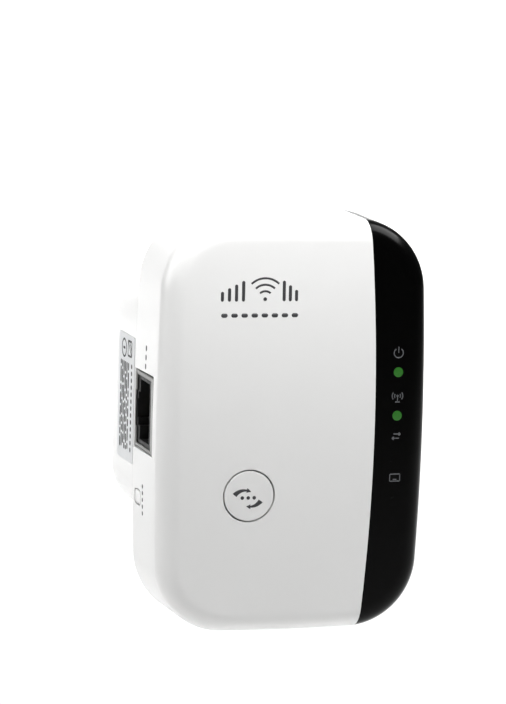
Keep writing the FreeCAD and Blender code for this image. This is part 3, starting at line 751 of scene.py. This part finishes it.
resetKey = {
    "at": (-24.6, -17.3), "half": (1.9, 1.35), "corner": 0.8, "edge": 0.2, "innerX": -25.05, "heartX": -26.2,
    "leg": ((-25.06, -33.2, -19.4), (-23.9, -22.5, -15.2)), "legEdge": 0.15,
}


def buildResetKey(k):
    angle = np.linspace(0, 2 * math.pi, 65)
    way = np.stack([np.cos(angle), np.sin(angle)], -1)
    across, down = quarterRound(k["edge"], 5)
    edge = edgeReach(angle, k["half"], k["corner"])
    scale = np.concatenate([np.linspace(0, 1, 6)[:-1], np.ones(across.size)])
    inset = np.concatenate([np.full(5, k["edge"]), k["edge"] - across])
    reach = (edge[None] - inset[:, None]) * scale[:, None]
    flat = np.array(k["at"]) + way[None] * reach[..., None]
    cap = onLeftWall(flat)
    cap[..., 0] += np.concatenate([np.zeros(5), down])[:, None]
    side = cap[-1:].copy()
    side[..., 0] = k["innerX"]
    middle = side.mean(1, keepdims=True) + np.zeros_like(side)
    cap = np.concatenate([cap, side, middle])
    leg = roundedBlock(*k["leg"], k["legEdge"])
    points, faces = joinGrids([closedGrid(cap, (k["heartX"], *k["at"])), closedGrid(leg, np.mean(k["leg"], 0))])
    makePiece("resetKey", points, faces, "whiteAbsFineTool", ride="reset",
              replaced=("reset_key",), sharp=40)


buildButton(button)
buildResetKey(resetKey)

lightGuide = {
    "bar": ((18.8, -38.2, -18.36), (21.8, -37.2, 11.1)), "barEdge": 0.25, "radius": 0.99, "rearY": -36.1,
    "dome": 0.03, "sunk": 0.02, "finishes": (1, 1, 2, 2), "rings": 7, "columns": 40, "heartY": -38.6,
}


def buildLightGuide(g):
    # a bar with four pins on it: each pin's end takes its own finish, over the lit lamps with a slight dome
    grids = [closedGrid(roundedBlock(*g["bar"], g["barEdge"]), np.mean(g["bar"], 0))]
    marks = [np.zeros(len(grids[0][1]))]
    share = np.linspace(0, 1, g["rings"])
    for z, finish in zip(panel["lensZ"], g["finishes"]):
        radii = np.concatenate([share * g["radius"], [g["radius"], 0]])
        dome, sunk = (g["dome"], g["sunk"]) if finish == 1 else (0.0, 0.0)
        depths = np.concatenate([-dome * (1 - share ** 2), [0, 0]]) + sunk
        fixedY = np.concatenate([np.full(share.size, np.nan), [g["rearY"], g["rearY"]]])
        pin = latheCap((panel["lensX"], z), radii, depths, fixedY, g["columns"] + 1)
        grids.append(closedGrid(pin, (panel["lensX"], g["heartY"], z)))
        marks.append(np.repeat([finish] * (share.size - 1) + [0, 0], g["columns"]))
    points, faces = joinGrids(grids)
    makePiece("lightGuide", points, faces, "clearAcrylicMoulded", replaced=("light_guide",),
              others=("lensEndLitGreen", "blackAcrylicPolished"), finishOf=np.concatenate(marks))


buildLightGuide(lightGuide)
print("button, key and light guide built")


# printing: thin ink on the skin, each mark a stroke of changing width carried along a path
def stroke(path, width, across=3):
    # points either side of a path, half a width out along its normal
    run = np.gradient(path, axis=0)
    run /= np.linalg.norm(run, axis=1, keepdims=True)
    normal = np.stack([-run[:, 1], run[:, 0]], -1)
    side = np.linspace(-0.5, 0.5, across)[None, :, None]
    return path[:, None] + normal[:, None] * side * np.asarray(width)[:, None, None]


def bar(start, end, width):
    # a straight stroke with half-round ends
    start, end = np.array(start, float), np.array(end, float)
    length, radius = np.linalg.norm(end - start), width / 2
    bend = np.linspace(0, math.pi / 2, 7)
    along = np.concatenate([radius - radius * np.cos(bend), np.linspace(radius, length - radius, 12)[1:-1],
                            length - radius + radius * np.sin(bend)])
    wide = np.concatenate([2 * radius * np.sin(bend), np.full(10, width), 2 * radius * np.cos(bend)])
    return stroke(start + (end - start) / length * along[:, None], wide)


def boxBars(middle, wide, tall, width):
    # four strokes round a rectangle, from its lower left corner
    corners = [(middle[0] + a * wide, middle[1] + b * tall) for a, b in ((-1, -1), (1, -1), (1, 1), (-1, 1), (-1, -1))]
    return [bar(start, end, width) for start, end in zip(corners, corners[1:])]


def bow(centre, radius, width, start, end, count=28):
    # a stroke along part of a circle, in degrees from the right
    angle = np.radians(np.linspace(start, end, count))
    path = np.array(centre) + radius * np.stack([np.cos(angle), np.sin(angle)], -1)
    return stroke(path, np.full(count, width))


def spot(centre, radius):
    # a disc as circles from its middle to its rim
    angle = np.linspace(0, 2 * math.pi, 33)
    return np.array(centre) + np.linspace(0, radius, 4)[:, None, None] * np.stack([np.cos(angle), np.sin(angle)], -1)


def taperedArrow(centre, radius, start, end, tail, head):
    # a curved stroke that narrows from its tail along its run, then a head that widens and closes to a point
    share = np.concatenate([np.linspace(0, 0.74, 22), np.linspace(0.74, 1, 12)])
    width = np.concatenate([np.linspace(1, 0.38, 22) * tail, np.linspace(1, 0.02, 12) * head])
    angle = np.radians(start + (end - start) * share)
    way = np.stack([np.cos(angle), np.sin(angle)], -1)
    return (np.array(centre) + radius * way)[:, None] - way[:, None] * np.linspace(-0.5, 0.5, 3)[
        None, :, None] * width[:, None, None]


ink = {"proud": 0.014, "thick": 0.012}


def printMarks(name, marks, lift, finish, ride="housing"):
    # lifts every flat mark onto the skin and gives the ink its small thickness
    grids = [(lift(mark), gridFaces(*mark.shape[:2])) for mark in marks]
    points, faces = joinGrids(grids)
    makePiece(name, points, faces, finish, ride=ride, heart=heart, wall=ink["thick"])


def inkOnCrown(flat):
    return onCrown(flat) - np.array([0, ink["proud"], 0])


def inkOnLeftWall(flat):
    return onLeftWall(flat) - np.array([ink["proud"], 0, 0])


frontMark = {
    "symbol": (-7.05, 23.95), "radii": (1.55, 2.8, 4.05), "spread": 43, "line": 0.4, "dot": 0.36,
    "leftBars": (-15.6, 1.4, (1.9, 2.6, 3.3, 4.0)), "rightBars": (-3.25, 1.25, (4.0, 3.1, 2.2)),
    "barFoot": 23.5, "barWidth": 0.62,
    "dashes": 8, "dashStart": -15.8, "dashPitch": 2.02, "dashLength": 1.3, "dashZ": 20.8, "dashWidth": 0.8,
}


def buildFrontMark(m):
    marks = [spot(m["symbol"], m["dot"])]
    for radius in m["radii"]:
        marks.append(bow(m["symbol"], radius, m["line"], 90 - m["spread"], 90 + m["spread"]))
    for start, pitch, heights in (m["leftBars"], m["rightBars"]):
        for number, tall in enumerate(heights):
            x = start + number * pitch
            marks.append(bar((x, m["barFoot"]), (x, m["barFoot"] + tall), m["barWidth"]))
    for number in range(m["dashes"]):
        x = m["dashStart"] + number * m["dashPitch"]
        marks.append(bar((x, m["dashZ"]), (x + m["dashLength"], m["dashZ"]), m["dashWidth"]))
    printMarks("frontMark", marks, inkOnCrown, "padInkDarkGrey")


buttonMark = {
    "radius": 2.6, "tail": 1.0, "head": 0.95, "upper": ((-0.9, -1.45), 141, 60), "lower": ((0.25, 0.5), -35, -107),
    "dots": (-1.35, -0.15, 1.05), "dotZ": -0.35, "dot": 0.36,
}


def buildButtonMark(m):
    x, z = button["at"]
    marks = []
    for (sideways, up), start, end in (m["upper"], m["lower"]):
        marks.append(taperedArrow((x + sideways, z + up), m["radius"], start, end, m["tail"], m["head"]))
    marks += [spot((x + step, z + m["dotZ"]), m["dot"]) for step in m["dots"]]
    printMarks("buttonMark", marks, inkOnCrown, "padInkDarkGrey", ride="button")


stripMark = {"x": 20.55, "line": 0.21, "power": 13.1, "radio": 4.6, "arrows": -3.4, "port": -11.7}


def buildStripMarks(m):
    x, line = m["x"], m["line"]
    marks = [bow((x, m["power"]), 0.95, line, 125, 415), bar((x, m["power"]), (x, m["power"] + 1.25), line)]
    z = m["radio"]
    marks += [spot((x, z), 0.24), bar((x, z - 1.15), (x, z), line), bar((x - 0.5, z - 1.2), (x + 0.5, z - 1.2), line)]
    for radius in (0.62, 1.1):
        marks += [bow((x, z), radius, line, -38, 38), bow((x, z), radius, line, 142, 218)]
    z = m["arrows"]
    for side in (-1, 1):
        level = z + side * 0.42
        tip = x + side * 0.9
        marks += [bar((x - side * 0.6, level), (tip, level), line)]
        marks += [bar((tip - side * 0.42, level + wing), (tip, level), line) for wing in (-0.33, 0.33)]
    z = m["port"]
    marks += boxBars((x, z), 1.05, 0.7, line)
    marks.append(bar((x - 0.4, z - 0.35), (x + 0.4, z - 0.35), line))
    printMarks("stripMarks", marks, inkOnCrown, "padInkDimSilver")


sideMark = {
    "portY": -28.5, "portZ": (9.3, 11.1, 12.9), "keyY": -28.0, "keyZ": (-20.0, -18.65, -17.3, -15.95, -14.6),
    "length": 1.15, "width": 0.8,
}


def buildSideMarks(m):
    marks = []
    for y, places, length in ((m["portY"], m["portZ"], m["length"]), (m["keyY"], m["keyZ"], m["length"] * 0.75)):
        for z in places:
            marks.append(bar((y, z - length / 2), (y, z + length / 2), m["width"]))
    printMarks("sideMarks", marks, inkOnLeftWall, "padInkDarkGrey")


label = {
    "front": -27.32, "rear": -27.2, "low": (-18.9, -11.9), "high": (-6.2, 13.6), "corner": 0.6,
    "ring": ((-10.6, 10.6), 1.75), "square": ((-15.2, 10.9), 1.5),
    "rows": (-16.9, -14.4, -13.1, -11.9, -10.7, -9.5, -8.3), "rowStart": 8.0, "rowEnd": -9.2,
}


def buildLabel(l):
    # the film is a flat rounded rectangle: rings from its middle to its edge, then down its thin side
    middle = (np.array(l["low"]) + np.array(l["high"])) / 2
    half = (np.array(l["high"]) - np.array(l["low"])) / 2
    angle = np.unique(np.concatenate([np.linspace(-math.pi, math.pi, 121), [
        math.atan2(v, u) for u in (-half[0], half[0]) for v in (-half[1], half[1])]]))
    reach = edgeReach(angle, tuple(half), l["corner"])
    flat = middle + np.array([0, 0.5, 1, 1, 0])[:, None, None] * reach[None, :, None] * np.stack(
        [np.cos(angle), np.sin(angle)], -1)
    x = np.array([l["front"]] * 3 + [l["rear"]] * 2)[:, None] + np.zeros(angle.size)
    points, faces = closedGrid(np.stack([x, flat[..., 0], flat[..., 1]], -1), (l["rear"] - 0.04, *middle))
    makePiece("ratingLabel", points, faces, "labelFilmSatin",
              replaced=("rating_label",))
    marks = [bow(l["ring"][0], l["ring"][1], 0.42, 0, 360, 40), bar(
        (l["ring"][0][0] - 0.8, l["ring"][0][1]), (l["ring"][0][0] + 0.8, l["ring"][0][1]), 0.5)]
    (sy, sz), side = l["square"]
    marks += boxBars((sy, sz), side, side, 0.4)
    marks += [bar((sy - side, sz - side + step), (sy + side - step, sz + side), 0.3) for step in (0.0, 1.2)]
    for number, y in enumerate(l["rows"]):
        z = l["rowStart"]
        while z > l["rowEnd"]:
            length = 0.95 if number == 0 else float(chance.uniform(1.0, 3.4))
            marks.append(bar((y, z), (y, max(z - length, l["rowEnd"] - 0.6)), 0.9 if number == 0 else 0.8))
            z -= length + (0.45 if number == 0 else 0.35)
    printMarks("labelMarks", marks, lambda flat: np.stack([np.full(flat.shape[:-1], l["front"] - ink["proud"]),
                                                           flat[..., 0], flat[..., 1]], -1), "labelInkBlack")


buildFrontMark(frontMark)
buildButtonMark(buttonMark)
buildStripMarks(stripMark)
buildSideMarks(sideMark)
buildLabel(label)
print("marks and label built")


# plug blades: pressed from strip, with rounded edges and a softened tip
blade = {
    "halfWidth": 3.175, "halfThick": 0.8, "edge": 0.38, "rearY": -2.8, "tipY": 17.0, "x": 6.85, "z": 8.0,
    "slant": 30.0, "tabHalf": 1.5, "tabY": -8.5,
}


def buildBlade(name, node, side, b):
    turn = math.radians(90 + side * b["slant"])
    plate = roundedBlock((-b["halfWidth"], b["rearY"], -b["halfThick"]),
                         (b["halfWidth"], b["tipY"], b["halfThick"]), b["edge"], 6)
    narrow = 1 - 0.09 * np.clip((plate[..., 1] - b["tipY"] + 1.2) / 1.2, 0, 1) ** 2
    plate[..., 0] *= narrow
    tab = roundedBlock((-b["tabHalf"], b["tabY"], -b["halfThick"] + 0.01),
                       (b["tabHalf"], b["rearY"] + 0.6, b["halfThick"] - 0.01), 0.2, 4)
    points, faces = joinGrids([closedGrid(plate, (0, 7, 0)), closedGrid(tab, (0, -5.4, 0))])
    x = points[:, 0] * math.cos(turn) + points[:, 2] * math.sin(turn) + side * b["x"]
    z = points[:, 2] * math.cos(turn) - points[:, 0] * math.sin(turn) + b["z"]
    makePiece(name, np.stack([x, points[:, 1], z], -1), faces, "nickelPlatedBrass",
              replaced=(node,))


buildBlade("bladeLeft", "blade_left", -1, blade)
buildBlade("bladeRight", "blade_right", 1, blade)
print("plug blades built")

# network jack: the sheet shell is one folded surface with a window that is wider than the plug's opening
jackShell = {
    "mouthX": -27.2, "rearX": -9.2, "low": (-34.0, -7.7), "high": (-19.9, 7.7), "fold": 0.35, "wall": 0.28,
    "window": ((-32.3, -6.85), (-21.3, 6.85)), "latch": ((-32.3, -3.65), (-20.45, 3.65)), "middle": (-26.4, 0.0),
}


def boxReach(angle, low, high, middle):
    # distance from a point inside a rectangle to its edge at each angle
    across, up = np.cos(angle), np.sin(angle)
    across = np.where(np.abs(across) < 1e-9, 1e-9, across)
    up = np.where(np.abs(up) < 1e-9, 1e-9, up)
    sideways = np.where(across > 0, high[0] - middle[0], low[0] - middle[0]) / across
    upward = np.where(up > 0, high[1] - middle[1], low[1] - middle[1]) / up
    return np.minimum(sideways, upward)


def cornerAngles(low, high, middle):
    # the angles of a rectangle's four corners, so that a ring of points holds them
    return [math.atan2(z - middle[1], y - middle[0]) for y in (low[0], high[0]) for z in (low[1], high[1])]


def buildJackShell(j):
    # rings about the mouth's middle: window edge, round the fold, back along the sides, then closed behind
    middle, fold = np.array(j["middle"]), j["fold"]
    low, high = np.array(j["low"]), np.array(j["high"])
    turnIn = math.atan2(j["latch"][1][1] - middle[1], j["window"][1][0] - middle[0])
    angle = np.unique(np.concatenate([
        np.linspace(-math.pi, math.pi, 181), [turnIn, -turnIn, turnIn - 1e-4, 1e-4 - turnIn],
        cornerAngles(low, high, middle), cornerAngles(low + fold, high - fold, middle),
        cornerAngles(*j["window"], middle), cornerAngles(*j["latch"], middle)]))
    window = np.maximum(boxReach(angle, *j["window"], middle), boxReach(angle, *j["latch"], middle))
    bend = np.linspace(0, math.pi / 2, 5)
    insets = np.concatenate([fold * (1 - np.sin(bend)), [0]])
    reaches = [window] + [boxReach(angle, low + inset, high - inset, middle) for inset in insets] + [window * 0]
    x = j["mouthX"] + np.concatenate([[0], fold * (1 - np.cos(bend)), [j["rearX"] - j["mouthX"]] * 2])
    flat = middle + np.stack(reaches)[..., None] * np.stack([np.cos(angle), np.sin(angle)], -1)
    points = np.concatenate([np.broadcast_to(x[:, None, None], (*flat.shape[:2], 1)), flat], -1)
    makePiece("jackShell", points, gridFaces(*points.shape[:2]), "nickelSheetPaintedShade",
              replaced=("jack_shell",), heart=((j["mouthX"] + j["rearX"]) / 2, *middle), wall=j["wall"])


buildJackShell(jackShell)
print("jack shell built")
